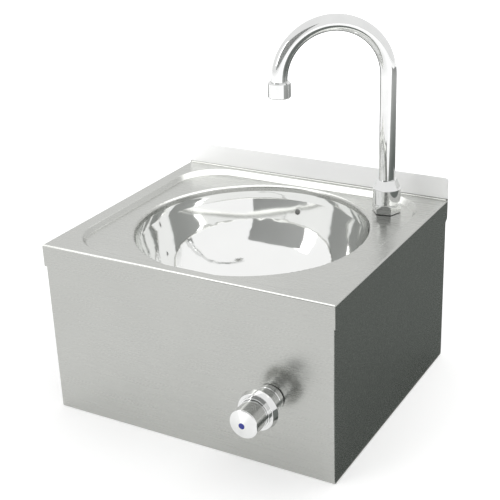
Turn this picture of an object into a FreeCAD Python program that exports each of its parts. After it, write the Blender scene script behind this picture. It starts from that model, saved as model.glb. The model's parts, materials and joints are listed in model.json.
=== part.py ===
import FreeCAD, Part
import math
import os
from types import SimpleNamespace

import Sketcher

# Wall-hung hand wash sink of folded stainless steel, in millimetres.
# +X is to the right of a person at the sink, -Y is towards that person, +Z is up.
# The wall is the plane Y = 0. The origin is midway between the two slots of the
# wall bracket, on the wall. Heights called "above the deck" count from the deck's top face.

Vector = FreeCAD.Vector

SIZES = {
    # deck, apron and splash upstand: one folded sheet
    "deck_width": 400,
    "deck_depth": 347,
    "deck_sheet": 1.5,
    "deck_level": 70,
    "fold_radius": 2.2,
    "apron_height": 29,
    "apron_notch": 4,
    "upstand_height": 31,
    "upstand_corner": 4,
    "upstand_bend": 1.5,
    "upstand_overlap": 0.2,
    # pressed recess of the deck
    "recess_side": 20,
    "recess_back": 9,
    "recess_front": 14,
    "recess_corner": 62,
    "recess_depth": 6,
    "recess_slope": 4.5,
    "recess_back_slope": 8.5,
    "recess_foot_corner": 58,
    "recess_brow": 1.2,
    "recess_foot": 0.8,
    # bowl and its rolled mouth
    "bowl_back": 173.5,
    "bowl_mouth": 149.8,
    "mouth_roll": 3.8,
    "mouth_land": 0.3,
    "mouth_sleeve": 8,
    "bowl_sheet": 1,
    "bowl_depth": 124,
    "bowl_shoulder": 6,
    "bowl_shoulder_arc": 40,
    "bowl_lean": 14.6,
    "bowl_arc": 104,
    "seat_step": 2,
    "seat_radius": 37,
    "seat_slope": 1.5,
    "seat_round": 0.8,
    "seat_hole": 26,
    "overflow_radius": 4,
    "overflow_drop": 40,
    "overflow_offset": 8.5,
    # casing
    "casing_sheet": 1.2,
    "casing_height": 231,
    "casing_setback": 1.5,
    "casing_fold": 1.6,
    "bottom_flange": 16,
    "rear_flange": 26,
    "wall_hole_radius": 4.25,
    "wall_hole_height": 28,
    "wall_hole_inset": 13,
    # hanging rail and wall bracket
    "rail_sheet": 1.5,
    "rail_depth": 5.5,
    "rail_bend": 2,
    "hook_drop": 50,
    "bracket_sheet": 2,
    "bracket_width": 300,
    "bracket_step": 8,
    "bracket_tongue": 14,
    "bracket_plate": 40,
    "bracket_bend": 2.5,
    "slot_spacing": 250,
    "slot_length": 20,
    "slot_radius": 4.25,
    # spout fitting, measured up from the recess floor
    "spout_right": 135.9,
    "spout_back": 55,
    "spout_heading": 216,
    "tube_radius": 10.4,
    "tube_wall": 1.2,
    "spout_rise": 182.7,
    "spout_arc": 68.6,
    "outlet_rise": 162,
    "rubber": 1.5,
    "spout_gasket_height": 0.8,
    "spout_gasket_inset": 1.5,
    "base_flats": 33,
    "base_turn": 10,
    "base_hex": 12,
    "base_neck_radius": 14.2,
    "base_neck": 15,
    "base_bore": 6,
    "base_socket_floor": 6,
    "thread_radius": 10.475,
    "thread_gap": 0.1,
    "thread_lead": 0.8,
    "nut_chamfer": 0.96,
    "running_gap": 0.07,
    "shank_length": 42,
    "nut_radius": 17.9,
    "nut_skirt": 19.5,
    "nut_cone": 12,
    "nut_top": 13.3,
    "nut_turn": 40,
    "tail_flange": 12.8,
    "tail_flange_height": 3,
    "tail_plug": 20,
    "tail_bore": 5.2,
    "tail_spigot": 5,
    "braze_gap": 0.08,
    "o_ring": 0.85,
    "o_ring_groove": 1.15,
    "o_ring_low": 5,
    "o_ring_high": 12,
    "washer_height": 2.3,
    "lock_flats": 30,
    "lock_height": 8,
    "plain_washer": 1.5,
    "spout_washer_radius": 18,
    # aerator
    "aerator_radius": 14.3,
    "aerator_height": 20,
    "aerator_chamfer": 1.4,
    "aerator_cup": 11,
    "aerator_cup_depth": 11,
    "insert_height": 8,
    "insert_inset": 0.6,
    "insert_hole": 1.1,
    "insert_inner_ring": 4.2,
    "insert_outer_ring": 8.1,
    # push valve, measured along its axis from the casing's outer face
    "valve_right": 117.3,
    "valve_drop": 135,
    "neck_radius": 12,
    "neck_front": 32,
    "neck_back": 20,
    "block_radius": 17,
    "block_back": 66,
    "outlet_stub": 14,
    "valve_bore": 9.1,
    "water_bore": 6,
    "inlet_place": 36,
    "inlet_boss": 13,
    "inlet_boss_drop": 2,
    "inlet_stub": 18,
    "gasket_height": 1.2,
    "barrel_radius": 16.9,
    "barrel_front": 29.2,
    "barrel_groove": 0.6,
    "barrel_groove_back": 9.3,
    "barrel_groove_front": 21,
    "bonnet_wall": 1.6,
    "bonnet_step": 3.2,
    "bonnet_flare": 2.4,
    "bonnet_front": 37.9,
    "bonnet_mouth": 41.4,
    "valve_nut_flats": 34,
    "valve_nut_height": 7,
    "valve_washer_radius": 19,
    "button_radius": 17.9,
    "button_wall": 2.3,
    "button_gap": 0.3,
    "button_travel": 7.5,
    "button_stop": 1,
    "button_shoulder": 65.1,
    "button_tip": 69.6,
    "button_round": 1.2,
    "button_crown": 3.4,
    "button_boss": 5.5,
    "button_boss_length": 12,
    "dot_radius": 3.8,
    "dot_depth": 1.4,
    "stem_radius": 3,
    "stem_collar": 7.6,
    "stem_collar_place": 34.8,
    "stem_collar_height": 2,
    "cartridge_radius": 9,
    "cartridge_front": 8,
    "cartridge_gland": 16,
    "cartridge_chamber": 6.5,
    "cartridge_seat_place": 42,
    "cartridge_seat": 3,
    "cartridge_seat_bore": 4.3,
    "cartridge_window": 3,
    "seal_radius": 5.6,
    "seal_height": 3,
    "seal_hole": 2.2,
    "seat_gap": 0.3,
    "spring_radius": 5.6,
    "spring_wire": 0.8,
    "spring_turns": 6,
    # feed pipe from the valve to the spout
    "pipe_radius": 6,
    "pipe_wall": 1,
    "pipe_collar": 9.4,
    "pipe_collar_height": 3,
    "pipe_run": 50,
    "pipe_jog_arc": 90,
    "pipe_elbow_arc": 30,
    "union_flats": 25,
    "union_grip": 8,
    "union_length": 17,
    # waste fitting, measured from the bowl's waste seat
    "waste_flange": 35,
    "waste_dish": 24.8,
    "waste_dish_depth": 6.5,
    "waste_sheet": 1.2,
    "waste_gasket_height": 1,
    "waste_seal_height": 2,
    "waste_cup": 29,
    "waste_cup_flange": 34,
    "waste_cup_depth": 24,
    "waste_cup_wall": 3,
    "waste_thread": 23.9,
    "waste_outlet": 20,
    "waste_outlet_length": 22,
    "waste_boss": 7,
    "waste_web": 4,
    "screw_radius": 3,
    "screw_head": 6.5,
    "screw_head_height": 2.5,
    "screw_length": 21,
    "strainer_hole": 3,
    "strainer_inner_ring": 11.2,
    "strainer_outer_ring": 18.8,
}


class Size:
    """A length known as a number and as the formula of cells that gives it."""

    def __init__(self, number, formula=None):
        self.number = float(number)
        self.formula = formula or "{:.9g}".format(number)

    def joined(self, other, sign, number):
        return Size(number, "({} {} {})".format(self.formula, sign, sized(other).formula))

    def __add__(self, other):
        return self.joined(other, "+", self.number + sized(other).number)

    def __radd__(self, other):
        return sized(other) + self

    def __sub__(self, other):
        return self.joined(other, "-", self.number - sized(other).number)

    def __rsub__(self, other):
        return sized(other) - self

    def __mul__(self, other):
        return self.joined(other, "*", self.number * sized(other).number)

    def __rmul__(self, other):
        return sized(other) * self

    def __truediv__(self, other):
        return self.joined(other, "/", self.number / sized(other).number)

    def __neg__(self):
        return Size(-self.number, "(-{})".format(self.formula))


def sized(value):
    """Any plain number or size, as a size."""
    return value if isinstance(value, Size) else Size(value)


def trig(name, degrees):
    """Sine, cosine or tangent of an angle in degrees."""
    degrees = sized(degrees)
    number = getattr(math, name)(math.radians(degrees.number))
    return Size(number, "{}({} * 1 deg)".format(name, degrees.formula))


def arctangent(ratio):
    """Angle in degrees whose tangent is the ratio."""
    return Size(math.degrees(math.atan(ratio.number)), "(atan({}) / 1 deg)".format(ratio.formula))


doc = FreeCAD.newDocument("hand_wash_sink")
sheet = doc.addObject("Spreadsheet::Sheet", "Sizes")
for row, (alias, value) in enumerate(SIZES.items(), start=1):
    sheet.set("A{}".format(row), alias)
    sheet.set("B{}".format(row), str(value))
    sheet.setAlias("B{}".format(row), alias)
doc.recompute()
S = SimpleNamespace(**{alias: Size(value, "Sizes." + alias) for alias, value in SIZES.items()})

sub_parts = []
volumes = {}


def bind(item, name, size):
    """Drives one property from the sheet."""
    item.setExpression(name, sized(size).formula)


def place(item, x=0, y=0, z=0, turn=None):
    """Puts an item at a point, after a turn given as (axis, degrees)."""
    if turn:
        item.Placement = FreeCAD.Placement(Vector(), FreeCAD.Rotation(*turn))
    for name, size in (("x", x), ("y", y), ("z", z)):
        bind(item, "Placement.Base." + name, size)


def sub_part(kind, label):
    """One sub-part of the sink, whose label names its file."""
    item = doc.addObject(kind, label)
    item.Label = label
    sub_parts.append(item)
    return item


def new_body(label):
    return sub_part("PartDesign::Body", label)


def origin_item(body, role):
    """One of a body's own origin planes or axes."""
    return next(item for item in body.Origin.OriginFeatures if item.Role == role)


def new_sketch(body, plane="XZ_Plane", lift=0):
    """Empty sketch on one of the body's planes, lifted along the plane's normal."""
    sketch = body.newObject("Sketcher::SketchObject", body.Name + "_sketch")
    sketch.AttachmentSupport = [(origin_item(body, plane), "")]
    sketch.MapMode = "FlatFace"
    bind(sketch, "AttachmentOffset.Base.z", lift)
    return sketch


def add_constraint(sketch, kind, *references, size=None):
    """Adds a constraint, driven by the sheet where it has a size."""
    if size is None:
        return sketch.addConstraint(Sketcher.Constraint(kind, *references))
    index = sketch.addConstraint(Sketcher.Constraint(kind, *references, size.number))
    bind(sketch, "Constraints[{}]".format(index), size)
    return index


def hold_point(sketch, geometry, position, x, y):
    """Holds a point of the sketch at x, y from the sketch's origin."""
    axes = (("DistanceX", x, -2), ("DistanceY", y, -1))
    for kind, size, axis in axes:
        if size.formula == "0":
            add_constraint(sketch, "PointOnObject", geometry, position, axis)
        else:
            add_constraint(sketch, kind, -1, 1, geometry, position, size=size)


def corner_arc(before, corner, after, radius):
    """Tangent points, centre and turning side of a rounded corner."""
    back = (before - corner).normalize()
    ahead = (after - corner).normalize()
    half = math.acos(max(-1.0, min(1.0, back.dot(ahead)))) / 2
    reach = radius / math.tan(half)
    middle = corner + (back + ahead).normalize() * (radius / math.sin(half))
    turns_left = (corner - before).cross(after - corner).z > 0
    return corner + back * reach, corner + ahead * reach, middle, turns_left


def add_outline(sketch, corners):
    """Closed outline through corners, each (x, y) or (x, y, radius)."""
    sizes = [[sized(value) for value in corner] for corner in corners]
    points = [Vector(x.number, y.number, 0) for x, y, *_ in sizes]
    count = len(sizes)
    arcs = {}
    for i, (_, _, *radius) in enumerate(sizes):
        if radius:
            arcs[i] = corner_arc(points[i - 1], points[i], points[(i + 1) % count], radius[0].number)
    lines = []
    for i in range(count):
        following = (i + 1) % count
        start = arcs[i][1] if i in arcs else points[i]
        stop = arcs[following][0] if following in arcs else points[following]
        lines.append(sketch.addGeometry(Part.LineSegment(start, stop), False))
    for i in range(count):
        arriving = lines[i - 1]
        leaving = lines[i]
        x, y, *radius = sizes[i]
        if i not in arcs:
            add_constraint(sketch, "Coincident", arriving, 2, leaving, 1)
            hold_point(sketch, leaving, 1, x, y)
            continue
        first, last, middle, turns_left = arcs[i]
        ends = (first, last) if turns_left else (last, first)
        angles = [math.atan2(end.y - middle.y, end.x - middle.x) for end in ends]
        circle = Part.Circle(middle, Vector(0, 0, 1), radius[0].number)
        arc = sketch.addGeometry(Part.ArcOfCircle(circle, *angles), False)
        arc_in, arc_out = (1, 2) if turns_left else (2, 1)
        mark = sketch.addGeometry(Part.Point(points[i]), True)
        hold_point(sketch, mark, 1, x, y)
        add_constraint(sketch, "PointOnObject", mark, 1, arriving)
        add_constraint(sketch, "PointOnObject", mark, 1, leaving)
        add_constraint(sketch, "Tangent", arriving, 2, arc, arc_in)
        add_constraint(sketch, "Tangent", arc, arc_out, leaving, 1)
        add_constraint(sketch, "Radius", arc, size=radius[0])


def add_circle(sketch, radius, x=0, y=0):
    """Circle held at x, y."""
    x, y, radius = sized(x), sized(y), sized(radius)
    circle = Part.Circle(Vector(x.number, y.number, 0), Vector(0, 0, 1), radius.number)
    index = sketch.addGeometry(circle, False)
    hold_point(sketch, index, 3, x, y)
    add_constraint(sketch, "Radius", index, size=radius)


def add_slot(sketch, x, y, length, radius):
    """Slot along the sketch's X, length from end to end."""
    x, y = sized(x), sized(y)
    reach = length / 2 - radius
    up = Vector(0, radius.number, 0)
    arcs = []
    for side in (1, -1):
        middle = Vector(x.number + side * reach.number, y.number, 0)
        start = -math.pi / 2 if side > 0 else math.pi / 2
        circle = Part.Circle(middle, Vector(0, 0, 1), radius.number)
        arcs.append((sketch.addGeometry(Part.ArcOfCircle(circle, start, start + math.pi), False), middle))
    (right, right_middle), (left, left_middle) = arcs
    top = sketch.addGeometry(Part.LineSegment(right_middle + up, left_middle + up), False)
    bottom = sketch.addGeometry(Part.LineSegment(left_middle - up, right_middle - up), False)
    hold_point(sketch, right, 3, x + reach, y)
    hold_point(sketch, left, 3, x - reach, y)
    add_constraint(sketch, "Radius", right, size=radius)
    for first, end, second, start in ((right, 2, top, 1), (top, 2, left, 1),
                                      (left, 2, bottom, 1), (bottom, 2, right, 1)):
        add_constraint(sketch, "Tangent", first, end, second, start)


def hexagon(flats, turn=0):
    """Corners of a hexagon given across its flats, the first at the angle turn."""
    reach = flats / math.sqrt(3)
    angles = [sized(turn) + 60 * i for i in range(6)]
    return [(reach * trig("cos", angle), reach * trig("sin", angle)) for angle in angles]


def finish_feature(body, feature, cuts=False):
    """Makes the feature the body's tip, and makes sure that it changed the solid."""
    body.Tip = feature
    doc.recompute()
    change = feature.Shape.Volume - volumes.get(body.Label, 0.0)
    if (change > -1e-6) if cuts else (abs(change) < 1e-6):
        raise RuntimeError("{} changes nothing in {}".format(feature.Name, body.Label))
    volumes[body.Label] = feature.Shape.Volume
    return feature


def pad(body, sketch, length, reverse=False, both=False, taper=None):
    """Solid of a sketch along its normal."""
    feature = body.newObject("PartDesign::Pad", body.Name + "_pad")
    feature.Profile = sketch
    feature.Reversed = reverse
    feature.Midplane = both
    bind(feature, "Length", length)
    if taper:
        bind(feature, "TaperAngle", taper)
    return finish_feature(body, feature)


def pocket(body, sketch, length, reverse=False, both=False, taper=None):
    """Cut of a sketch against its normal, or along it where reversed."""
    feature = body.newObject("PartDesign::Pocket", body.Name + "_pocket")
    feature.Profile = sketch
    feature.Reversed = reverse
    feature.Midplane = both
    bind(feature, "Length", length)
    if taper:
        bind(feature, "TaperAngle", taper)
    return finish_feature(body, feature, cuts=True)


def revolve(body, corners, cut=False, lift=0):
    """Solid or cut of revolution about the vertical axis of an XZ sketch."""
    sketch = new_sketch(body, lift=lift)
    add_outline(sketch, corners)
    kind = "PartDesign::Groove" if cut else "PartDesign::Revolution"
    feature = body.newObject(kind, body.Name + "_turned")
    feature.Profile = sketch
    feature.ReferenceAxis = (sketch, ["V_Axis"])
    feature.Angle = 360
    return finish_feature(body, feature, cuts=cut)


def near(first, second):
    return abs(first - sized(second).number) < 0.02


def fillet(body, radius, chosen):
    """Rounds the edges of the body's solid that the test picks."""
    base = body.Tip
    names = ["Edge{}".format(i) for i, edge in enumerate(base.Shape.Edges, start=1) if chosen(edge)]
    feature = body.newObject("PartDesign::Fillet", body.Name + "_fillet")
    feature.Base = (base, names)
    bind(feature, "Radius", radius)
    return finish_feature(body, feature)


def polar_pattern(body, feature, count):
    """Repeats a feature round the body's vertical axis."""
    pattern = body.newObject("PartDesign::PolarPattern", body.Name + "_pattern")
    pattern.Originals = [feature]
    pattern.Axis = (origin_item(body, "Z_Axis"), [""])
    pattern.Angle = 360
    pattern.Occurrences = count
    return finish_feature(body, pattern, cuts=True)


def ring(label, inner, outer, height, z=0):
    """Flat ring about the vertical axis, its lower face at z."""
    body = new_body(label)
    revolve(body, [(inner, z), (outer, z), (outer, z + height), (inner, z + height)])
    return body


def crown(body, flats, top, direction=1):
    """Turned 30 degree chamfer on a hexagon's end face, as on every nut."""
    reach = flats / math.sqrt(3)
    inner = flats / 2 * S.nut_chamfer
    outer = reach + 1
    rise = (outer - inner) * trig("tan", 30) * direction
    revolve(body, [(inner, top), (outer, top - rise), (outer, top + direction), (inner, top + direction)],
            cut=True)


def hex_nut(label, flats, height, bore, z=0, turn=0):
    """Chamfered hexagon nut, its lower face at z."""
    body = new_body(label)
    sketch = new_sketch(body, "XY_Plane", z)
    add_outline(sketch, hexagon(flats, turn))
    add_circle(sketch, bore)
    pad(body, sketch, height)
    crown(body, flats, z + height)
    crown(body, flats, sized(z), direction=-1)
    return body


# ---------------------------------------------------------------- deck, bowl and casing

half_width = S.deck_width / 2
floor_level = S.deck_level - S.recess_depth
slope_grow = S.deck_sheet * trig("tan", 45 - arctangent(S.recess_slope / S.recess_depth) / 2)
back_grow = S.deck_sheet * trig("tan", 45 - arctangent(S.recess_back_slope / S.recess_depth) / 2)
bowl_floor = S.recess_depth + S.bowl_depth


def recess_outline(inward, back_inward, corner, around=0, behind=0):
    """Rounded outline of the pressed recess, drawn inward from its brow or grown outward."""
    side = half_width - S.recess_side - inward + around
    back = -S.recess_back - back_inward + behind
    front = -(S.deck_depth - S.recess_front - inward + around)
    return [(-side, front, corner), (side, front, corner), (side, back, corner), (-side, back, corner)]


def deck_shell(body):
    """Flat deck with its apron folded down at the front and the sides, the corners mitred."""
    sketch = new_sketch(body, "XY_Plane")
    add_outline(sketch, [(-half_width, 0), (-half_width, -S.deck_depth),
                         (half_width, -S.deck_depth), (half_width, 0)])
    pad(body, sketch, S.apron_height, reverse=True)
    fillet(body, S.fold_radius, lambda edge: near(edge.BoundBox.ZMin, 0) and near(edge.BoundBox.ZMax, 0)
           and not (near(edge.BoundBox.YMin, 0) and near(edge.BoundBox.YMax, 0)))
    inner_half = half_width - S.deck_sheet
    inner_front = -(S.deck_depth - S.deck_sheet)
    sketch = new_sketch(body, "XY_Plane", -S.apron_height)
    add_outline(sketch, [(-inner_half, S.deck_sheet), (-inner_half, inner_front),
                         (inner_half, inner_front), (inner_half, S.deck_sheet)])
    pocket(body, sketch, S.apron_height - S.deck_sheet, reverse=True)


def deck_upstand(body):
    """Splash upstand bent up at the back, and the notch under each rear end of the apron."""
    sketch = new_sketch(body, "XZ_Plane")
    add_outline(sketch, [(-half_width, -S.deck_sheet), (half_width, -S.deck_sheet),
                         (half_width, S.upstand_height, S.upstand_corner),
                         (-half_width, S.upstand_height, S.upstand_corner)])
    pad(body, sketch, S.deck_sheet)
    bend = S.upstand_bend
    mid = -S.deck_sheet / 2
    reach = bend + S.upstand_overlap
    sketch = new_sketch(body, "YZ_Plane")
    add_outline(sketch, [(mid, mid), (mid, reach), (-S.deck_sheet, reach), (-S.deck_sheet, 0, bend),
                         (-S.deck_sheet - reach, 0), (-S.deck_sheet - reach, mid)])
    pad(body, sketch, S.deck_width - 2 * S.fold_radius, both=True)
    sketch = new_sketch(body, "YZ_Plane")
    add_outline(sketch, [(1, -S.apron_height - 1), (-S.apron_notch - 1, -S.apron_height - 1),
                         (1, -S.apron_height + S.apron_notch + 1)])
    pocket(body, sketch, S.deck_width + 2, both=True)


def tapered(body, label, high, low, cut=False):
    """Solid or cut between an outline and a lower one, each given as (height, corners)."""
    sketches = []
    for lift, corners in (high, low):
        sketches.append(new_sketch(body, "XY_Plane", lift))
        add_outline(sketches[-1], corners)
    kind = "PartDesign::SubtractiveLoft" if cut else "PartDesign::AdditiveLoft"
    feature = body.newObject(kind, label)
    feature.Profile = sketches[0]
    feature.Sections = [sketches[1]]
    feature.Ruled = True
    return finish_feature(body, feature, cuts=cut)


def deck_recess(body):
    """Pressed recess: its tray is added under the deck, and then its hollow is taken out."""
    brow = (0, 0, S.recess_corner)
    foot = (S.recess_slope, S.recess_back_slope, S.recess_foot_corner)
    grown = (slope_grow, back_grow)
    tapered(body, "recess_tray", (-S.deck_sheet, recess_outline(*brow, *grown)),
            (-S.deck_sheet - S.recess_depth, recess_outline(*foot, *grown)))
    tapered(body, "recess_hollow", (0, recess_outline(*brow)), (-S.recess_depth, recess_outline(*foot)),
            cut=True)
    side = (half_width - S.recess_side).number + 0.1
    back = -S.recess_back.number + 0.1
    for radius, level in ((S.recess_brow, Size(0)), (S.recess_foot, -S.recess_depth)):
        fillet(body, radius, lambda edge: near(edge.BoundBox.ZMin, level) and near(edge.BoundBox.ZMax, level)
               and abs(edge.BoundBox.XMin) < side and abs(edge.BoundBox.XMax) < side
               and edge.BoundBox.YMax < back)


def deck_openings(body):
    """Bowl mouth with its rolled edge and sleeve, and the hole for the spout."""
    cut = S.bowl_mouth + S.mouth_roll + S.mouth_land
    sketch = new_sketch(body, "XY_Plane")
    add_circle(sketch, cut, 0, -S.bowl_back)
    pocket(body, sketch, S.recess_depth + S.deck_sheet + 1)
    under = -S.recess_depth - S.deck_sheet
    sleeve_end = -S.recess_depth - S.mouth_sleeve
    sleeve = S.bowl_mouth + S.deck_sheet
    revolve(body, [(S.bowl_mouth, sleeve_end), (sleeve, sleeve_end),
                   (sleeve, under, S.mouth_roll - S.deck_sheet), (cut, under), (cut, -S.recess_depth),
                   (S.bowl_mouth, -S.recess_depth, S.mouth_roll)], lift=S.bowl_back)
    sketch = new_sketch(body, "XY_Plane")
    add_circle(sketch, S.thread_radius + S.button_gap, S.spout_right, -S.spout_back)
    pocket(body, sketch, S.recess_depth + S.deck_sheet + 1)


def deck_top():
    body = new_body("deck_top")
    deck_shell(body)
    deck_upstand(body)
    deck_recess(body)
    deck_openings(body)
    place(body, z=S.deck_level)


def bowl():
    """Pressed round bowl: leaning wall, round bottom, flat waste seat, overflow hole."""
    top = -S.recess_depth - S.mouth_sleeve
    shoulder = top - S.bowl_shoulder
    lean = trig("tan", S.bowl_lean)
    skew = S.bowl_sheet / trig("cos", S.bowl_lean)
    inner_foot = S.bowl_mouth - (shoulder + bowl_floor) * lean
    outer_foot = S.bowl_mouth + skew - (shoulder + bowl_floor + S.bowl_sheet) * lean
    outer_shoulder = shoulder - S.bowl_sheet * trig("tan", S.bowl_lean / 2)
    seat = -bowl_floor - S.seat_step
    body = new_body("bowl")
    revolve(body, [
        (S.bowl_mouth, top),
        (S.bowl_mouth, shoulder, S.bowl_shoulder_arc),
        (inner_foot, -bowl_floor, S.bowl_arc),
        (S.seat_radius + S.seat_slope, -bowl_floor, S.seat_round),
        (S.seat_radius, seat, S.seat_round),
        (S.seat_hole, seat),
        (S.seat_hole, seat - S.bowl_sheet),
        (S.seat_radius + 0.6 * S.bowl_sheet, seat - S.bowl_sheet, S.seat_round),
        (S.seat_radius + S.seat_slope + 0.6 * S.bowl_sheet, -bowl_floor - S.bowl_sheet, S.seat_round),
        (outer_foot, -bowl_floor - S.bowl_sheet, S.bowl_arc + S.bowl_sheet),
        (S.bowl_mouth + S.bowl_sheet, outer_shoulder, S.bowl_shoulder_arc + S.bowl_sheet),
        (S.bowl_mouth + S.bowl_sheet, top),
    ])
    sketch = new_sketch(body)
    add_circle(sketch, S.overflow_radius, -S.overflow_offset, -S.overflow_drop)
    pocket(body, sketch, S.bowl_mouth + 10)
    place(body, y=-S.bowl_back, z=S.deck_level)


def casing():
    """Folded front and side walls with inward flanges at the bottom and along the wall."""
    half = half_width - S.deck_sheet
    front = -(S.deck_depth - S.deck_sheet)
    back = -S.casing_setback
    top = -S.deck_sheet
    bottom = -S.casing_height
    wall = S.casing_sheet
    body = new_body("casing")
    sketch = new_sketch(body, "XY_Plane", bottom)
    add_outline(sketch, [(-half, back), (-half, front, S.casing_fold), (half, front, S.casing_fold),
                         (half, back)])
    pad(body, sketch, S.casing_height - S.deck_sheet)
    fillet(body, S.casing_fold - 0.3, lambda edge: near(edge.BoundBox.ZMax, bottom)
           and edge.BoundBox.YMin < back.number - 1)
    inner_fold = S.casing_fold - wall
    sketch = new_sketch(body, "XY_Plane", top + 1)
    add_outline(sketch, [(-half + wall, back - wall), (-half + wall, front + wall, inner_fold),
                         (half - wall, front + wall, inner_fold), (half - wall, back - wall)])
    pocket(body, sketch, S.casing_height - S.deck_sheet - wall + 1)
    inset = S.bottom_flange
    sketch = new_sketch(body, "XY_Plane", bottom - 1)
    add_outline(sketch, [(-half + inset, 1), (-half + inset, front + inset), (half - inset, front + inset),
                         (half - inset, 1)])
    pocket(body, sketch, wall + 2, reverse=True)
    inset = S.rear_flange
    sketch = new_sketch(body, "XZ_Plane", 0)
    add_outline(sketch, [(-half + inset, bottom - 1), (half - inset, bottom - 1),
                         (half - inset, top + 1), (-half + inset, top + 1)])
    pocket(body, sketch, 2 * (S.casing_setback + wall) + 1, both=True)
    sketch = new_sketch(body, "XZ_Plane", 0)
    for side in (-1, 1):
        add_circle(sketch, S.wall_hole_radius, side * (half - S.wall_hole_inset), bottom + S.wall_hole_height)
    pocket(body, sketch, 2 * (S.casing_setback + wall) + 1, both=True)
    sketch = new_sketch(body, "XZ_Plane", -front)
    add_circle(sketch, S.neck_radius + S.button_gap, S.valve_right, -S.valve_drop)
    pocket(body, sketch, 4 * wall, both=True)
    place(body, z=S.deck_level)


def rear_rail():
    """Hanging rail under the deck's back edge: its long leg drops behind the bracket's tongue."""
    back = -S.casing_setback - S.casing_sheet
    front = back - S.rail_depth
    top = -S.deck_sheet
    wall = S.rail_sheet
    body = new_body("rear_rail")
    sketch = new_sketch(body, "YZ_Plane")
    add_outline(sketch, [(back, -S.hook_drop), (back, top, S.rail_bend), (front, top), (front, top - wall),
                         (back - wall, top - wall, S.rail_bend - wall), (back - wall, -S.hook_drop)])
    pad(body, sketch, S.deck_width - 2 * (S.deck_sheet + S.casing_sheet), both=True)
    place(body, z=S.deck_level)


def wall_bracket():
    """Bracket screwed to the wall: slotted plate, shelf and the tongue that carries the rail."""
    sheet_size = S.bracket_sheet
    shelf = -S.hook_drop
    tongue = -S.bracket_step
    foot = shelf - S.bracket_plate
    inside = S.bracket_bend - sheet_size
    body = new_body("wall_bracket")
    sketch = new_sketch(body, "YZ_Plane")
    add_outline(sketch, [
        (0, foot), (0, shelf, S.bracket_bend), (tongue + sheet_size, shelf, inside),
        (tongue + sheet_size, shelf + S.bracket_tongue), (tongue, shelf + S.bracket_tongue),
        (tongue, shelf - sheet_size, S.bracket_bend), (-sheet_size, shelf - sheet_size, inside),
        (-sheet_size, foot),
    ])
    pad(body, sketch, S.bracket_width, both=True)
    sketch = new_sketch(body, "XZ_Plane")
    for side in (-1, 1):
        add_slot(sketch, side * S.slot_spacing / 2, -S.deck_level, S.slot_length, S.slot_radius)
    pocket(body, sketch, 4 * sheet_size, both=True)
    place(body, z=S.deck_level)


# ---------------------------------------------------------------- spout

tube_inner = S.tube_radius - S.tube_wall
hex_foot = S.spout_gasket_height
hex_top = hex_foot + S.base_hex
neck_top = hex_top + S.base_neck
nut_foot = hex_top + S.seat_gap
flange_foot = neck_top + S.seat_gap
flange_top = flange_foot + S.tail_flange_height
socket = S.tube_radius + S.running_gap


def on_spout(body, turn=None):
    """Puts a body on the spout's axis, its zero height on the recess floor."""
    place(body, S.spout_right, -S.spout_back, floor_level, turn)


def spout_base():
    """Hexagonal base with a threaded neck above and a threaded shank below."""
    body = new_body("spout_base")
    sketch = new_sketch(body, "XY_Plane", hex_foot)
    add_outline(sketch, hexagon(S.base_flats, S.base_turn))
    pad(body, sketch, S.base_hex)
    crown(body, S.base_flats, hex_top)
    neck = S.base_neck_radius
    revolve(body, [(0, hex_foot), (neck, hex_foot), (neck, neck_top), (0, neck_top)])
    revolve(body, [(0, -S.shank_length), (S.thread_radius - S.thread_lead, -S.shank_length),
                   (S.thread_radius, -S.shank_length + S.thread_lead), (S.thread_radius, hex_foot + 1),
                   (0, hex_foot + 1)])
    revolve(body, [(0, -S.shank_length - 1), (S.base_bore, -S.shank_length - 1),
                   (S.base_bore, S.base_socket_floor), (socket, S.base_socket_floor),
                   (socket, neck_top + 1), (0, neck_top + 1)], cut=True)
    on_spout(body)


def spout_nut():
    """Union nut: round skirt, then a six-sided cone drawn in to the tube."""
    skirt_top = nut_foot + S.nut_skirt
    body = new_body("spout_nut")
    revolve(body, [(0, nut_foot), (S.nut_radius, nut_foot, 0.5), (S.nut_radius, skirt_top), (0, skirt_top)])
    low = new_sketch(body, "XY_Plane", skirt_top)
    add_outline(low, hexagon(S.nut_radius * math.sqrt(3), S.nut_turn))
    high = new_sketch(body, "XY_Plane", skirt_top + S.nut_cone)
    add_outline(high, hexagon(S.nut_top * math.sqrt(3), S.nut_turn))
    loft = body.newObject("PartDesign::AdditiveLoft", "spout_nut_cone")
    loft.Profile = low
    loft.Sections = [high]
    loft.Ruled = True
    finish_feature(body, loft)
    shoulder = flange_top + S.washer_height + 2 * S.seat_gap
    thread = S.base_neck_radius + S.thread_gap
    cavity = S.tail_flange + S.button_gap
    revolve(body, [(0, nut_foot - 1), (thread, nut_foot - 1), (thread, flange_foot), (cavity, flange_foot),
                   (cavity, shoulder), (socket, shoulder), (socket, skirt_top + S.nut_cone + 1),
                   (0, skirt_top + S.nut_cone + 1)], cut=True)
    on_spout(body)


def spout_tail():
    """Brass end of the spout: plug with two ring grooves, flange, and spigot into the tube."""
    low = flange_foot - S.tail_plug
    groove = S.tube_radius - 2 * S.o_ring
    outline = [(S.tail_bore, low), (S.tube_radius, low)]
    for centre in (low + S.o_ring_low, low + S.o_ring_high):
        outline += [(S.tube_radius, centre - S.o_ring_groove), (groove, centre - S.o_ring_groove),
                    (groove, centre + S.o_ring_groove), (S.tube_radius, centre + S.o_ring_groove)]
    spigot = tube_inner - S.braze_gap
    spigot_top = flange_top + S.tail_spigot
    outline += [(S.tube_radius, flange_foot), (S.tail_flange, flange_foot), (S.tail_flange, flange_top),
                (spigot, flange_top), (spigot, spigot_top), (S.tail_bore, spigot_top)]
    body = new_body("spout_tail")
    revolve(body, outline)
    on_spout(body)


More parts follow.
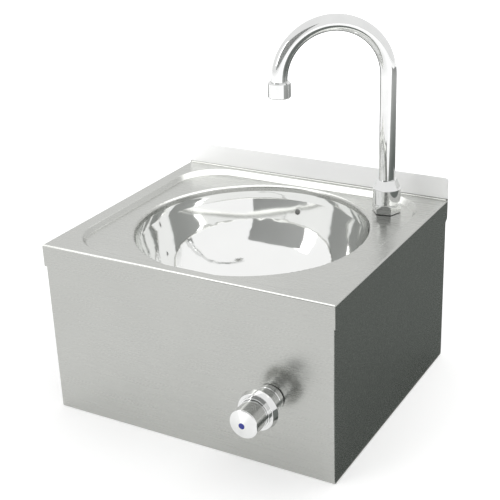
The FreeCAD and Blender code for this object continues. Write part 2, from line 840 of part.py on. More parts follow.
def spout_o_rings():
    """The two rings in the tail's grooves, squeezed to the groove's depth."""
    low = flange_foot - S.tail_plug
    rings = []
    for i, centre in enumerate((low + S.o_ring_low, low + S.o_ring_high)):
        torus = doc.addObject("Part::Torus", "o_ring_{}".format(i))
        bind(torus, "Radius1", S.tube_radius - S.o_ring)
        bind(torus, "Radius2", S.o_ring)
        place(torus, S.spout_right, -S.spout_back, floor_level + centre)
        rings.append(torus)
    group = sub_part("Part::Compound", "spout_o_rings")
    group.Links = rings


def spout_tube():
    """Gooseneck: straight rise, half circle towards the bowl, short drop into the aerator."""
    body = new_body("spout_tube")
    path = new_sketch(body, "XZ_Plane")
    rise = flange_top
    drop = S.outlet_rise + S.aerator_cup_depth + S.rubber
    centre = Vector(S.spout_arc.number, S.spout_rise.number, 0)
    foot = Vector(0, rise.number, 0)
    up = path.addGeometry(Part.LineSegment(foot, Vector(0, centre.y, 0)), False)
    circle = Part.Circle(centre, Vector(0, 0, 1), S.spout_arc.number)
    arc = path.addGeometry(Part.ArcOfCircle(circle, 0, math.pi), False)
    far = Vector(2 * centre.x, centre.y, 0)
    down = path.addGeometry(Part.LineSegment(far, Vector(far.x, drop.number, 0)), False)
    hold_point(path, up, 1, Size(0), rise)
    hold_point(path, arc, 3, S.spout_arc, S.spout_rise)
    add_constraint(path, "Tangent", up, 2, arc, 2)
    add_constraint(path, "Tangent", arc, 1, down, 1)
    add_constraint(path, "Vertical", up)
    hold_point(path, down, 2, 2 * S.spout_arc, drop)
    section = new_sketch(body, "XY_Plane", rise)
    add_circle(section, S.tube_radius)
    add_circle(section, tube_inner)
    pipe = body.newObject("PartDesign::AdditivePipe", "spout_tube_pipe")
    pipe.Profile = section
    pipe.Spine = (path, ["Edge1", "Edge2", "Edge3"])
    finish_feature(body, pipe)
    on_spout(body, (Vector(0, 0, 1), S.spout_heading.number))


def spout_fixings():
    """Rubber ring on the deck, and the washer and nut that clamp the base from below."""
    on_spout(ring("spout_gasket", S.thread_radius + S.button_gap, S.base_flats / 2 - S.spout_gasket_inset,
                  S.spout_gasket_height))
    washer_foot = -S.deck_sheet - S.plain_washer
    on_spout(ring("spout_washer", S.thread_radius + S.button_gap, S.spout_washer_radius, S.plain_washer,
                  washer_foot))
    on_spout(hex_nut("spout_lock_nut", S.lock_flats, S.lock_height, S.thread_radius + S.thread_gap,
                     washer_foot - S.lock_height))
    on_spout(ring("swivel_washer", S.tube_radius + S.button_gap, S.tail_flange, S.washer_height,
                  flange_top + S.seat_gap))


def on_outlet(body):
    """Puts a body on the outlet's axis, its zero height at the aerator's lower edge."""
    reach = 2 * S.spout_arc
    place(body, S.spout_right + reach * trig("cos", S.spout_heading),
          -S.spout_back + reach * trig("sin", S.spout_heading), floor_level + S.outlet_rise)


def aerator():
    """Housing screwed to the spout's end, perforated flow straightener and rubber ring."""
    body = new_body("aerator_housing")
    bevel = S.aerator_chamfer
    mouth = S.aerator_cup - 0.5
    revolve(body, [
        (mouth, 0), (S.aerator_radius - bevel, 0), (S.aerator_radius, bevel),
        (S.aerator_radius, S.aerator_height - bevel), (S.aerator_radius - bevel, S.aerator_height),
        (S.tube_radius + S.thread_gap, S.aerator_height),
        (S.tube_radius + S.thread_gap, S.aerator_cup_depth + S.rubber),
        (S.aerator_cup, S.aerator_cup_depth + S.rubber), (S.aerator_cup, S.insert_inset),
        (mouth, S.insert_inset),
    ])
    on_outlet(body)
    insert = new_body("aerator_insert")
    rim = S.aerator_cup - S.thread_gap
    insert_top = S.insert_inset + S.insert_height
    revolve(insert, [(0, S.insert_inset), (rim, S.insert_inset), (rim, insert_top), (0, insert_top)])
    for count, reach in ((6, S.insert_inner_ring), (12, S.insert_outer_ring)):
        sketch = new_sketch(insert, "XY_Plane", 0)
        add_circle(sketch, S.insert_hole, reach)
        hole = pocket(insert, sketch, S.aerator_height, reverse=True)
        polar_pattern(insert, hole, count)
    on_outlet(insert)
    on_outlet(ring("aerator_seal", S.aerator_cup - 3.5, S.aerator_cup - 0.3,
                   S.aerator_cup_depth + S.rubber - insert_top, insert_top))


# ---------------------------------------------------------------- push valve

panel = -(S.deck_depth - S.deck_sheet)
towards_user = (Vector(1, 0, 0), 90)


def on_valve(body):
    """Puts a body on the valve's axis: its local Z points at the user, zero on the panel."""
    place(body, S.valve_right, panel, S.deck_level - S.valve_drop, towards_user)


def valve_body():
    """Brass body: neck through the panel, block with an inlet below, outlet at the back."""
    back = -S.block_back - S.outlet_stub
    body = new_body("valve_body")
    revolve(body, [
        (0, back), (S.thread_radius - S.thread_lead, back), (S.thread_radius, back + S.thread_lead),
        (S.thread_radius, -S.block_back), (S.block_radius - 1, -S.block_back),
        (S.block_radius, -S.block_back + 1), (S.block_radius, -S.neck_back - 1.5),
        (S.block_radius - 1.5, -S.neck_back), (S.neck_radius, -S.neck_back), (S.neck_radius, S.neck_front),
        (0, S.neck_front),
    ])
    boss_end = S.block_radius + S.inlet_boss_drop
    for radius, reach in ((S.inlet_boss, boss_end), (S.thread_radius, boss_end + S.inlet_stub)):
        sketch = new_sketch(body, "XZ_Plane")
        add_circle(sketch, radius, 0, -S.inlet_place)
        pad(body, sketch, reach)
    revolve(body, [(0, back - 1), (S.water_bore, back - 1), (S.water_bore, -S.block_back + 2),
                   (S.valve_bore, -S.block_back + 2), (S.valve_bore, S.neck_front + 1),
                   (0, S.neck_front + 1)], cut=True)
    sketch = new_sketch(body, "XZ_Plane")
    add_circle(sketch, S.water_bore, 0, -S.inlet_place)
    pocket(body, sketch, boss_end + S.inlet_stub + 1, reverse=True)
    on_valve(body)


def valve_cartridge():
    """Closing cartridge: stem guide in front, windows to the inlet, seat, open back."""
    back = -S.block_back + 2
    seat = -S.cartridge_seat_place
    guide = S.stem_radius + S.running_gap
    chamber = S.cartridge_chamber
    body = new_body("valve_cartridge")
    revolve(body, [
        (guide, S.cartridge_front), (guide, S.cartridge_front - S.cartridge_gland),
        (chamber, S.cartridge_front - S.cartridge_gland), (chamber, seat + S.cartridge_seat),
        (S.cartridge_seat_bore, seat + S.cartridge_seat), (S.cartridge_seat_bore, seat), (chamber, seat),
        (chamber, back), (S.cartridge_radius, back), (S.cartridge_radius, S.cartridge_front),
    ])
    sketch = new_sketch(body, "XZ_Plane")
    add_circle(sketch, S.cartridge_window, 0, -S.inlet_place + S.cartridge_window)
    window = pocket(body, sketch, S.cartridge_radius + 1, reverse=True)
    polar_pattern(body, window, 4)
    on_valve(body)


def valve_stem():
    """Stem pressed into the button, with the spring's collar and the seal's spigot."""
    seat = -S.cartridge_seat_place
    seal_front = seat - S.seat_gap
    seal_back = seal_front - S.seal_height
    stem_end = S.button_tip - S.dot_depth - S.button_crown
    collar = S.stem_collar_place
    flange = S.seal_radius - 0.6
    body = new_body("valve_stem")
    revolve(body, [
        (0, seal_back - 2), (flange, seal_back - 2), (flange, seal_back), (S.seal_hole, seal_back),
        (S.seal_hole, seal_front), (S.stem_radius, seal_front), (S.stem_radius, collar),
        (S.stem_collar, collar), (S.stem_collar, collar + S.stem_collar_height),
        (S.stem_radius, collar + S.stem_collar_height), (S.stem_radius, stem_end), (0, stem_end),
    ])
    on_valve(body)
    on_valve(ring("stem_seal", S.seal_hole, S.seal_radius, S.seal_height, seal_back))


def button_spring():
    """Return spring between the cartridge's front and the stem's collar."""
    foot = S.cartridge_front + S.spring_wire + S.seat_gap
    head = S.stem_collar_place - S.spring_wire - S.seat_gap
    coil = doc.addObject("Part::Helix", "spring_line")
    bind(coil, "Radius", S.spring_radius)
    bind(coil, "Height", head - foot)
    bind(coil, "Pitch", (head - foot) / S.spring_turns)
    bind(coil, "Placement.Base.z", foot)
    section = doc.addObject("Part::Circle", "spring_section")
    section.Placement = FreeCAD.Placement(Vector(), FreeCAD.Rotation(Vector(1, 0, 0), 90))
    bind(section, "Radius", S.spring_wire)
    bind(section, "Placement.Base.x", S.spring_radius)
    bind(section, "Placement.Base.z", foot)
    spring = sub_part("Part::Sweep", "button_spring")
    spring.Sections = [section]
    spring.Spine = coil
    spring.Solid = True
    spring.Frenet = True
    on_valve(spring)


def valve_front():
    """What clamps on the panel: gasket, ringed barrel and bonnet outside, washer and nut inside."""
    thread = S.neck_radius + S.thread_gap
    on_valve(ring("valve_gasket", thread, S.barrel_radius - 0.5, S.gasket_height))
    inside = -S.casing_sheet - S.plain_washer
    on_valve(ring("valve_washer", thread, S.valve_washer_radius, S.plain_washer, inside))
    on_valve(hex_nut("valve_lock_nut", S.valve_nut_flats, S.valve_nut_height, thread,
                     inside - S.valve_nut_height, turn=30))
    groove = S.barrel_groove
    outer = S.barrel_radius
    foot = S.gasket_height
    outline = [(thread, foot), (outer - groove, foot), (outer, foot + groove)]
    for middle in (S.barrel_groove_back, S.barrel_groove_front):
        outline += [(outer, middle - groove), (outer - groove, middle), (outer, middle + groove)]
    outline += [(outer, S.barrel_front), (thread, S.barrel_front)]
    barrel = new_body("valve_barrel")
    revolve(barrel, outline)
    on_valve(barrel)
    bonnet = new_body("valve_bonnet")
    cavity = S.button_radius + S.button_gap
    sleeve = cavity + S.bonnet_wall
    rim = sleeve + S.bonnet_step
    drum = rim + S.bonnet_flare
    revolve(bonnet, [
        (thread, S.barrel_front), (drum - 1, S.barrel_front), (drum, S.barrel_front + 1, 0.5),
        (rim, S.bonnet_front, 0.8), (sleeve, S.bonnet_front), (sleeve, S.bonnet_mouth, 0.6),
        (cavity, S.bonnet_mouth), (cavity, S.neck_front), (thread, S.neck_front),
    ])
    on_valve(bonnet)


def push_button():
    """Hollow button with a low cone for a face, a boss for the stem and a seat for the dot."""
    outer = S.button_radius
    inner = outer - S.button_wall
    back = S.neck_front + S.button_travel + S.button_stop
    dot_floor = S.button_tip - S.dot_depth
    ceiling = S.button_shoulder - S.button_crown
    stem_end = dot_floor - S.button_crown
    boss_foot = ceiling - S.button_boss_length
    body = new_body("push_button")
    revolve(body, [
        (S.stem_radius, boss_foot), (S.button_boss, boss_foot), (S.button_boss, ceiling),
        (inner, ceiling, 1.5), (inner, back), (outer, back), (outer, S.button_shoulder, S.button_round),
        (S.dot_radius, S.button_tip - 0.3), (S.dot_radius, dot_floor), (0, dot_floor), (0, stem_end),
        (S.stem_radius, stem_end),
    ])
    on_valve(body)
    dot = new_body("button_dot")
    revolve(dot, [(0, dot_floor), (S.dot_radius, dot_floor), (S.dot_radius, S.button_tip - 0.3, 0.4),
                  (0, S.button_tip)])
    on_valve(dot)


# ---------------------------------------------------------------- feed pipe

stub_end = panel + S.block_back + S.outlet_stub
pipe_start = stub_end + S.rubber
shank_end = floor_level - S.shank_length
pipe_finish = shank_end - S.rubber
run_level = S.deck_level - S.valve_drop
away_from_user = (Vector(1, 0, 0), -90)
downwards = (Vector(1, 0, 0), 180)


def rounded_route(points, radii):
    """Wire of straight runs joined by tangent arcs."""
    edges = []
    here = points[0]
    for i, radius in enumerate(radii, start=1):
        back = (points[i - 1] - points[i]).normalize()
        ahead = (points[i + 1] - points[i]).normalize()
        half = math.acos(back.dot(ahead)) / 2
        arrive = points[i] + back * (radius / math.tan(half))
        leave = points[i] + ahead * (radius / math.tan(half))
        inward = (back + ahead).normalize()
        middle = points[i] + inward * (radius / math.sin(half) - radius)
        edges += [Part.LineSegment(here, arrive).toShape(), Part.Arc(arrive, middle, leave).toShape()]
        here = leave
    edges.append(Part.LineSegment(here, points[-1]).toShape())
    return Part.Wire(edges)


def feed_pipe():
    """Rigid bent pipe: back from the valve, aside, then up to the spout, a collar on each end."""
    start = Vector(S.valve_right.number, pipe_start.number, run_level.number)
    finish = Vector(S.spout_right.number, -S.spout_back.number, pipe_finish.number)
    points = [start, start + Vector(0, S.pipe_run.number, 0),
              Vector(finish.x, finish.y, start.z), finish]
    route = rounded_route(points, [S.pipe_jog_arc.number, S.pipe_elbow_arc.number])
    outer = S.pipe_radius.number
    tubes = []
    for radius in (outer, outer - S.pipe_wall.number):
        section = Part.Wire([Part.Circle(start, Vector(0, 1, 0), radius).toShape()])
        tubes.append(route.makePipeShell([section], True, False))
    height = S.pipe_collar_height.number
    collars = [Part.makeCylinder(S.pipe_collar.number, height, start, Vector(0, 1, 0)),
               Part.makeCylinder(S.pipe_collar.number, height, finish, Vector(0, 0, -1))]
    item = sub_part("Part::Feature", "feed_pipe")
    item.Shape = tubes[0].fuse(collars).cut(tubes[1])


def union_nut(label):
    """Hexagonal union nut: thread over a stub, shoulder behind the pipe's collar."""
    body = new_body(label)
    sketch = new_sketch(body, "XY_Plane", -S.union_grip)
    add_outline(sketch, hexagon(S.union_flats, 30))
    pad(body, sketch, S.union_length)
    end = S.union_length - S.union_grip
    crown(body, S.union_flats, end)
    shoulder = S.rubber + S.pipe_collar_height
    thread = S.thread_radius + S.thread_gap
    passage = S.pipe_radius + S.thread_gap
    revolve(body, [(0, -S.union_grip - 1), (thread, -S.union_grip - 1), (thread, shoulder),
                   (passage, shoulder), (passage, end + 1), (0, end + 1)], cut=True)
    return body


def feed_fittings():
    """Union nuts and sealing rings at the two ends of the feed pipe."""
    ends = (("valve", (S.valve_right, stub_end, run_level), away_from_user),
            ("spout", (S.spout_right, -S.spout_back, shank_end), downwards))
    for name, spot, turn in ends:
        place(union_nut("feed_nut_" + name), *spot, turn)
        place(ring("feed_gasket_" + name, S.water_bore, S.pipe_collar, S.rubber), *spot, turn)


# ---------------------------------------------------------------- waste fitting


def on_waste(body):
    """Puts a body on the bowl's axis, its zero height on the waste seat."""
    place(body, 0, -S.bowl_back, S.deck_level - bowl_floor - S.seat_step)


def waste_strainer():
    """Strainer dish with two rings of holes round its centre screw."""
    flange_foot_z = S.waste_gasket_height
    wall = S.waste_sheet
    dish = S.waste_dish
    floor = -S.waste_dish_depth
    body = new_body("waste_strainer")
    revolve(body, [
        (S.screw_radius + S.thread_gap, floor), (dish, floor, wall + 0.8), (dish, flange_foot_z),
        (S.waste_flange, flange_foot_z), (S.waste_flange, flange_foot_z + wall, 0.6),
        (dish - wall, flange_foot_z + wall, 1.5), (dish - wall, floor + wall, 0.8),
        (S.screw_radius + S.thread_gap, floor + wall),
    ])
    for count, reach in ((6, S.strainer_inner_ring), (12, S.strainer_outer_ring)):
        sketch = new_sketch(body, "XY_Plane", floor - 1)
        add_circle(sketch, S.strainer_hole, reach)
        hole = pocket(body, sketch, wall + 2, reverse=True)
        polar_pattern(body, hole, count)
    on_waste(body)


def waste_body():
    """Cup under the bowl with a webbed boss for the screw and a threaded outlet."""
    top = -S.bowl_sheet - S.waste_seal_height
    wall = S.waste_cup_wall
    cup_floor = top - S.waste_cup_depth
    end = cup_floor - S.waste_outlet_length
    body = new_body("waste_body")
    revolve(body, [
        (S.waste_outlet, end), (S.waste_thread, end), (S.waste_thread, cup_floor - wall),
        (S.waste_cup, cup_floor, 4), (S.waste_cup, top - wall), (S.waste_cup_flange, top - wall),
        (S.waste_cup_flange, top), (S.waste_cup - wall, top), (S.waste_cup - wall, cup_floor + wall, 3),
        (S.waste_outlet, cup_floor - wall),
    ])
    web_top = top - 0.5 * S.waste_cup_depth
    web_height = S.waste_web * 3
    sketch = new_sketch(body, "XY_Plane", web_top - web_height)
    add_circle(sketch, S.waste_boss)
    pad(body, sketch, web_height)
    reach = S.waste_cup - wall + 0.5
    for half_x, half_y in ((reach, S.waste_web / 2), (S.waste_web / 2, reach)):
        sketch = new_sketch(body, "XY_Plane", web_top - web_height)
        add_outline(sketch, [(-half_x, -half_y), (half_x, -half_y), (half_x, half_y), (-half_x, half_y)])
        pad(body, sketch, web_height)
    sketch = new_sketch(body, "XY_Plane", web_top + 1)
    add_circle(sketch, S.screw_radius + S.thread_gap)
    pocket(body, sketch, web_height + 2)
    on_waste(body)


def waste_fixings():
    """Rubber rings on both sides of the seat, and the centre screw with its slot."""
    on_waste(ring("waste_gasket", S.seat_hole, S.waste_flange - 0.5, S.waste_gasket_height))
    on_waste(ring("waste_seal", S.seat_hole, S.waste_cup_flange - 0.3, S.waste_seal_height,
                  -S.bowl_sheet - S.waste_seal_height))
    head_foot = -S.waste_dish_depth + S.waste_sheet
    head_top = head_foot + S.screw_head_height
    body = new_body("waste_screw")
    revolve(body, [(0, head_foot - S.screw_length), (S.screw_radius, head_foot - S.screw_length),
                   (S.screw_radius, head_foot), (S.screw_head, head_foot), (S.screw_head, head_top, 1.2),
                   (0, head_top)])
    sketch = new_sketch(body, "XY_Plane", head_top)
    half = S.screw_head + 1
    add_outline(sketch, [(-half, -0.7), (half, -0.7), (half, 0.7), (-half, 0.7)])
    pocket(body, sketch, 0.5 * S.screw_head_height)
    on_waste(body)


for build in (deck_top, bowl, casing, rear_rail, wall_bracket, spout_base, spout_nut, spout_tail,
              spout_o_rings, spout_tube, spout_fixings, aerator, valve_body, valve_cartridge, valve_stem,
              button_spring, valve_front, push_button, feed_pipe, feed_fittings, waste_strainer,
              waste_body, waste_fixings):
    build()

doc.recompute()
for item in doc.Objects:
    if "Invalid" in item.State or "Error" in item.State:
        raise RuntimeError("{} failed: {}".format(item.Label, item.State))
for item in sub_parts:
    if item.Shape.isNull() or not item.Shape.isValid():
        raise RuntimeError("{} has no valid shape".format(item.Label))

os.makedirs("parts", exist_ok=True)
for item in sub_parts:
    item.Shape.exportStep("parts/{}.step".format(item.Label))
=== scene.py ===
import json

import bpy
from mathutils import Matrix, Vector


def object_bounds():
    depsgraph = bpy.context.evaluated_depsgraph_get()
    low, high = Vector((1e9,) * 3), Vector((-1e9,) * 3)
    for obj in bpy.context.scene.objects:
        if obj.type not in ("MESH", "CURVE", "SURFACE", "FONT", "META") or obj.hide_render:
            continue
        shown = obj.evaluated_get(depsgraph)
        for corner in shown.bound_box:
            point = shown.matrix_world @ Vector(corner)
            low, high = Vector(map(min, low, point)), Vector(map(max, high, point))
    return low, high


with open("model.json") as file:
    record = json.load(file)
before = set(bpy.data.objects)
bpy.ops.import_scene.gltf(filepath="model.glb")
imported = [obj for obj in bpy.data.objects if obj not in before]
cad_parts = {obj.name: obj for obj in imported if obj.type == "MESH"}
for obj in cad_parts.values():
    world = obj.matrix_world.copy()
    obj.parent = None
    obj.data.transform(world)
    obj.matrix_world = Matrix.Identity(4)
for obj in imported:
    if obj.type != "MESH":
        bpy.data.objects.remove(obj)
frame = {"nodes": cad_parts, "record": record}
cad_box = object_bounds()

# Hand wash sink of stainless steel, in metres, in the part's own frame: X to the right of a
# person at the sink, -Y towards that person, Z up, and the wall is the plane Y = 0.

NODES = frame["nodes"]
SUBPARTS = frame["record"]["subparts"]
MM = 0.001

# ---------------------------------------------------------------- camera

CAMERA_PLACE = Vector((0.65313, -1.29967, 0.59501))
CAMERA_FORWARD = Vector((-0.46231, 0.79249, -0.39779))
CAMERA_RIGHT = Vector((0.87089, 0.49019, -0.03559))
LENS_PIXELS = 1097.8
IMAGE_PIXELS = 500
SENSOR_MM = 36.0


def add_camera():
    """Camera at the photograph's viewing angle."""
    data = bpy.data.cameras.new("camera")
    data.sensor_width = SENSOR_MM
    data.lens = SENSOR_MM * LENS_PIXELS / IMAGE_PIXELS
    camera = bpy.data.objects.new("camera", data)
    bpy.context.scene.collection.objects.link(camera)
    back = -CAMERA_FORWARD.normalized()
    right = CAMERA_RIGHT.normalized()
    turn = Matrix((right, back.cross(right), back)).transposed()
    camera.matrix_world = Matrix.Translation(CAMERA_PLACE) @ turn.to_4x4()
    bpy.context.scene.camera = camera


# ---------------------------------------------------------------- materials

WHITE = (1, 1, 1)
NOISE_SPAN = (0.3, 0.7)     # most values of a noise lie between these

# Sockets of the mix node, which shares one name between its kinds of value.
MIX_SHARE = 0
MIX_FLOATS = (2, 3)
MIX_COLOURS = (6, 7)
MIX_FLOAT_RESULT = 0
MIX_COLOUR_RESULT = 2

# Colours, each as the darker and the paler end of its variation.
SATIN_STEEL = ((0.4704, 0.4752, 0.456), (0.49, 0.495, 0.475))
PLAIN_STEEL = ((0.5184, 0.5184, 0.5088), (0.54, 0.54, 0.53))
# Painted light: the upstand's paler colour stands in for the light that falls on it.
UPSTAND_PAINTED_LIGHT = (0.97, 0.97, 0.97)
POLISHED_STEEL = ((0.89, 0.895, 0.885), (0.92, 0.925, 0.915))
CHROMIUM = ((0.74, 0.745, 0.74), (0.79, 0.795, 0.79))
BRASS = ((0.42, 0.29, 0.12), (0.62, 0.46, 0.2))
SPRING_WIRE = ((0.3, 0.3, 0.3), (0.5, 0.5, 0.49))
RUBBER = ((0.012, 0.012, 0.012), (0.03, 0.03, 0.03))
WHITE_PLASTIC = ((0.70, 0.70, 0.68), (0.78, 0.78, 0.76))
BLUE_PLASTIC = ((0.02, 0.03, 0.30), (0.03, 0.05, 0.40))

UPSTAND_LEVEL = 71.6 * MM       # the upstand's paler colour, which is painted light, and its matt roughness start above this
UPSTAND_ROUGHNESS = 0.6


def rays_that_see(tree):
    """1 for rays from the camera, off metal or through glass, 0 for the rays that carry light."""
    rays = tree.nodes.new("ShaderNodeLightPath").outputs
    chosen = rays["Is Camera Ray"]
    for name in ("Is Glossy Ray", "Is Transmission Ray"):
        either = tree.nodes.new("ShaderNodeMath")
        either.operation = "MAXIMUM"
        tree.links.new(chosen, either.inputs[0])
        tree.links.new(rays[name], either.inputs[1])
        chosen = either.outputs[0]
    return chosen


class Shader:
    """One node material, with short calls for the nodes that it is made of."""

    def __init__(self, name, **inputs):
        self.material = bpy.data.materials.new(name)
        self.material.use_nodes = True
        self.tree = self.material.node_tree
        self.surface = self.tree.nodes["Principled BSDF"]
        for socket, value in inputs.items():
            self.surface.inputs[socket.replace("_", " ")].default_value = value

    def node(self, kind, inputs=None, **settings):
        """New node with its settings, and its inputs linked or set."""
        made = self.tree.nodes.new(kind)
        for key, value in settings.items():
            setattr(made, key, value)
        for socket, value in (inputs or {}).items():
            if isinstance(value, bpy.types.NodeSocket):
                self.tree.links.new(value, made.inputs[socket])
            else:
                made.inputs[socket].default_value = value
        return made

    def place(self):
        """The object's own coordinates."""
        return self.node("ShaderNodeTexCoord").outputs["Object"]

    def distance(self, point):
        """Distance from a point."""
        made = self.node("ShaderNodeVectorMath", {0: self.place(), 1: point}, operation="DISTANCE")
        return made.outputs["Value"]

    def noise(self, scale, detail=2.0, stretch=(1, 1, 1), rough=0.5):
        """Noise over the object's own coordinates, stretched."""
        place = self.node("ShaderNodeMapping", {"Vector": self.place(), "Scale": stretch})
        made = self.node("ShaderNodeTexNoise", {"Vector": place.outputs["Vector"], "Scale": scale,
                                                "Detail": detail, "Roughness": rough})
        return made.outputs["Fac"]

    def map(self, value, source, target=(0, 1)):
        """Maps one range onto another."""
        made = self.node("ShaderNodeMapRange", {"Value": value,
                                                "From Min": source[0], "From Max": source[1],
                                                "To Min": target[0], "To Max": target[1]})
        return made.outputs["Result"]

    def span(self, noise, low=0, high=1):
        """Maps what a noise mostly gives onto low to high."""
        return self.map(noise, NOISE_SPAN, (low, high))

    def tint(self, share, first, second):
        """Colour between two, each an output or three numbers."""
        inputs = {MIX_SHARE: share}
        for socket, colour in zip(MIX_COLOURS, (first, second)):
            inputs[socket] = colour if isinstance(colour, bpy.types.NodeSocket) else (*colour, 1)
        return self.node("ShaderNodeMix", inputs, data_type="RGBA").outputs[MIX_COLOUR_RESULT]

    def blend(self, share, first, second):
        """Number between two, each an output or a number."""
        inputs = {MIX_SHARE: share, MIX_FLOATS[0]: first, MIX_FLOATS[1]: second}
        return self.node("ShaderNodeMix", inputs, data_type="FLOAT").outputs[MIX_FLOAT_RESULT]

    def link(self, socket, output):
        self.tree.links.new(output, self.surface.inputs[socket])

    def bump(self, height, distance, strength):
        """Relief of the surface, its depth in metres."""
        made = self.node("ShaderNodeBump", {"Height": height, "Distance": distance,
                                            "Strength": strength})
        self.link("Normal", made.outputs["Normal"])


def sheet_steel(name, shades, roughness, grain, with_painted_light_upstand=False):
    """Rolled stainless sheet: fine streaks along the rolling, faint mottling, a matt upstand whose
    paler colour is painted light.
    """
    shader = Shader(name, Metallic=1.0)
    streaks = shader.noise(1.0, detail=3.0, stretch=grain, rough=0.6)
    colour = shader.tint(shader.span(shader.noise(9.0)), *shades)
    rough = shader.span(streaks, *roughness)
    # Above the upstand level: a paler colour that is painted light for the light on the upstand, and a
    # matt roughness.
    if with_painted_light_upstand:
        height = shader.node("ShaderNodeSeparateXYZ", {"Vector": shader.place()}).outputs["Z"]
        painted_light_and_matt = shader.map(height, (UPSTAND_LEVEL, UPSTAND_LEVEL + MM))
        colour = shader.tint(painted_light_and_matt, colour, UPSTAND_PAINTED_LIGHT)
        rough = shader.blend(painted_light_and_matt, rough, UPSTAND_ROUGHNESS)
    shader.link("Base Color", colour)
    shader.link("Roughness", rough)
    shader.bump(streaks, distance=0.01 * MM, strength=0.25)
    return shader.material


def hazy_metal(name, shades, roughness, scale, detail):
    """Near-mirror metal with a faint haze: the buffed bowl, chromium plate."""
    shader = Shader(name, Metallic=1.0)
    haze = shader.noise(scale, detail)
    shader.link("Base Color", shader.tint(shader.span(haze), *shades))
    shader.link("Roughness", shader.span(haze, *roughness))
    return shader.material


def turned_brass():
    """Machined brass with fine turning marks and a few duller patches."""
    shader = Shader("turned_brass", Metallic=1.0)
    patches = shader.noise(70.0, detail=3.0)
    shader.link("Base Color", shader.tint(shader.span(patches), *BRASS))
    shader.link("Roughness", shader.span(patches, 0.25, 0.42))
    shader.bump(shader.noise(900.0), distance=0.03 * MM, strength=0.4)
    return shader.material


def spring_wire():
    """Drawn steel wire with marks of the drawing."""
    shader = Shader("spring_wire", Metallic=1.0)
    marks = shader.noise(500.0)
    shader.link("Base Color", shader.tint(marks, *SPRING_WIRE))
    shader.link("Roughness", shader.span(marks, 0.25, 0.4))
    return shader.material


def moulded(name, shades, roughness):
    """Moulded rubber or plastic: a fine matt grain."""
    shader = Shader(name)
    grain = shader.noise(900.0)
    shader.link("Base Color", shader.tint(shader.span(shader.noise(40.0)), *shades))
    shader.link("Roughness", shader.span(grain, *roughness))
    shader.bump(grain, distance=0.03 * MM, strength=0.3)
    return shader.material


MATERIALS = {
    "steel_satin": sheet_steel("satin_steel", SATIN_STEEL, (0.22, 0.30), (6, 900, 900), True),
    "steel_plain": sheet_steel("plain_steel", PLAIN_STEEL, (0.26, 0.38), (6, 500, 500)),
    "steel_mirror": hazy_metal("polished_steel", POLISHED_STEEL, (0.05, 0.08), 14.0, 3.0),
    "chrome": hazy_metal("chrome", CHROMIUM, (0.04, 0.07), 60.0, 2.0),
    "brass": turned_brass(),
    "spring_steel": spring_wire(),
    "rubber": moulded("rubber", RUBBER, (0.5, 0.7)),
    "white_plastic": moulded("white_plastic", WHITE_PLASTIC, (0.35, 0.5)),
    "blue_plastic": moulded("blue_plastic", BLUE_PLASTIC, (0.15, 0.25)),
}
POLISHED_SLOTS = ("chrome", "steel_mirror")


def dress_nodes():
    """Gives every CAD node its material, by its slot in the record."""
    for entry in SUBPARTS:
        data = NODES[entry["node"]].data
        data.materials.clear()
        data.materials.append(MATERIALS[entry["material_slot"]])


# ---------------------------------------------------------------- floor, world and lamps

FLOOR_LEVEL = cad_box[0].z
FLOOR_HALF = 6.0
FLOOR_SHADES = ((0.83, 0.83, 0.83), (0.85, 0.85, 0.85))
FLOOR_DIM = (-0.3, -0.6, -0.161)    # where the floor is lifted least
FLOOR_REACH = (0.4, 2.2)            # distances from there between which the lift rises
FLOOR_LIFT = (0.2, 0.95)

WORLD_LIGHT = 0.12                  # as a source of light, where 1 is what is seen

# The level cards lie just above the floor and meet in line with the casing's right side.
CARD_LEVEL = FLOOR_LEVEL + MM
CASING_SIDE = 0.199
CARD_BACK = 2.2


def add_panel(name, corners, material):
    """Flat four-cornered piece of the studio."""
    data = bpy.data.meshes.new(name)
    data.from_pydata(corners, [], [(0, 1, 2, 3)])
    data.materials.append(material)
    panel = bpy.data.objects.new(name, data)
    bpy.context.scene.collection.objects.link(panel)
    return panel


def level_corners(left, right, front, back, height):
    """Corners of a level rectangle."""
    return [(left, front, height), (right, front, height), (right, back, height),
            (left, back, height)]


def facing_corners(direction, distance, half_width, half_height):
    """Corners of an upright rectangle that faces the sink from a direction."""
    middle = Vector(direction).normalized() * distance
    across = Vector((0, 0, 1)).cross(middle).normalized() * half_width
    up = middle.cross(across).normalized() * half_height
    return [tuple(middle + x * across + y * up) for x, y in ((-1, -1), (1, -1), (1, 1), (-1, 1))]


def add_floor():
    """White floor: it keeps shadows, and cameras and metal see it lifted towards pure white."""
    shader = Shader("floor", Roughness=0.9, Specular_IOR_Level=0.1, Emission_Color=(*WHITE, 1))
    shader.link("Base Color", shader.tint(shader.noise(3.0), *FLOOR_SHADES))
    whiter = shader.map(shader.distance(FLOOR_DIM), FLOOR_REACH, FLOOR_LIFT)
    lift = shader.node("ShaderNodeMath", {0: rays_that_see(shader.tree), 1: whiter},
                       operation="MULTIPLY")
    shader.link("Emission Strength", lift.outputs[0])
    half = FLOOR_HALF
    add_panel("floor", level_corners(-half, half, -half, half, FLOOR_LEVEL), shader.material)


def add_dark_card(name, corners, shade, rim=None, middle=None, reach=None):
    """Card that only reflections see, its shade turning to the rim's as the middle gets farther."""
    shader = Shader(name, Roughness=1.0, Specular_IOR_Level=0.0, Base_Color=(*shade, 1))
    if rim:
        away = shader.map(shader.distance(middle), reach)
        shader.link("Base Color", shader.tint(away, shade, rim))
    card = add_panel(name, corners, shader.material)
    card.visible_camera = False
    card.visible_diffuse = False
    card.visible_shadow = False


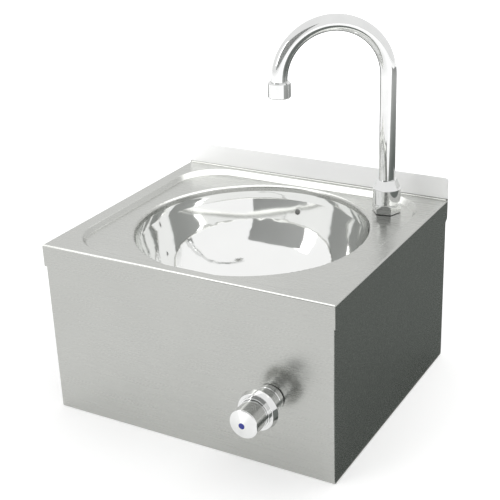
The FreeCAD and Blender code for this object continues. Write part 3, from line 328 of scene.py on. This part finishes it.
def add_world():
    """Pale surroundings: white to the camera and in reflections, dimmer as a source of light."""
    world = bpy.data.worlds.new("world")
    bpy.context.scene.world = world
    world.use_nodes = True
    tree = world.node_tree
    background = tree.nodes["Background"].inputs
    background["Color"].default_value = (*WHITE, 1)
    strength = tree.nodes.new("ShaderNodeMapRange")
    strength.inputs["To Min"].default_value = WORLD_LIGHT
    strength.inputs["To Max"].default_value = 1.0
    tree.links.new(rays_that_see(tree), strength.inputs["Value"])
    tree.links.new(strength.outputs["Result"], background["Strength"])


def polished_pieces():
    """Collection of the nodes that mirror the studio."""
    pieces = bpy.data.collections.new("polished_pieces")
    for entry in SUBPARTS:
        if entry["material_slot"] in POLISHED_SLOTS:
            pieces.objects.link(NODES[entry["node"]])
    return pieces


def add_lamp(name, place, target, size, power, spared=None):
    """Square soft lamp that faces a point and leaves the spared pieces unlit."""
    data = bpy.data.lights.new(name, "AREA")
    data.size = size
    data.energy = power
    lamp = bpy.data.objects.new(name, data)
    lamp.location = place
    lamp.rotation_euler = (Vector(place) - Vector(target)).to_track_quat("Z", "Y").to_euler()
    lamp.visible_camera = False
    if spared:
        lamp.light_linking.receiver_collection = spared
        for member in spared.collection_objects:
            member.light_linking.link_state = "EXCLUDE"
    bpy.context.scene.collection.objects.link(lamp)


bpy.context.scene.view_settings.view_transform = "Standard"
bpy.context.scene.cycles.glossy_bounces = 12
bpy.context.scene.cycles.max_bounces = 16
add_camera()
dress_nodes()
add_floor()
add_dark_card("side_card", level_corners(CASING_SIDE, 2.6, -0.62, CARD_BACK, CARD_LEVEL),
              shade=(0.175, 0.19, 0.18), rim=(0.62, 0.63, 0.62),
              middle=(0.35, 0.1, -0.16), reach=(0.65, 1.3))
add_dark_card("back_card", level_corners(-1.6, CASING_SIDE, 0.1, CARD_BACK, CARD_LEVEL),
              shade=(0.10, 0.11, 0.105), rim=(0.7, 0.71, 0.7),
              middle=(-0.3, 0.9, -0.16), reach=(0.4, 1.3))
add_dark_card("camera_card", facing_corners((-0.03, -1, 0.47), 1.9, 1.0, 0.64),
              shade=(0.5, 0.51, 0.5))
add_world()
add_lamp("key", place=(-1.0, -1.76, 0.98), target=(0, -0.1, 0.05), size=1.2, power=9)
add_lamp("top", place=(0, -0.2, 2.2), target=(0, -0.2, 0), size=4.0, power=90,
         spared=polished_pieces())
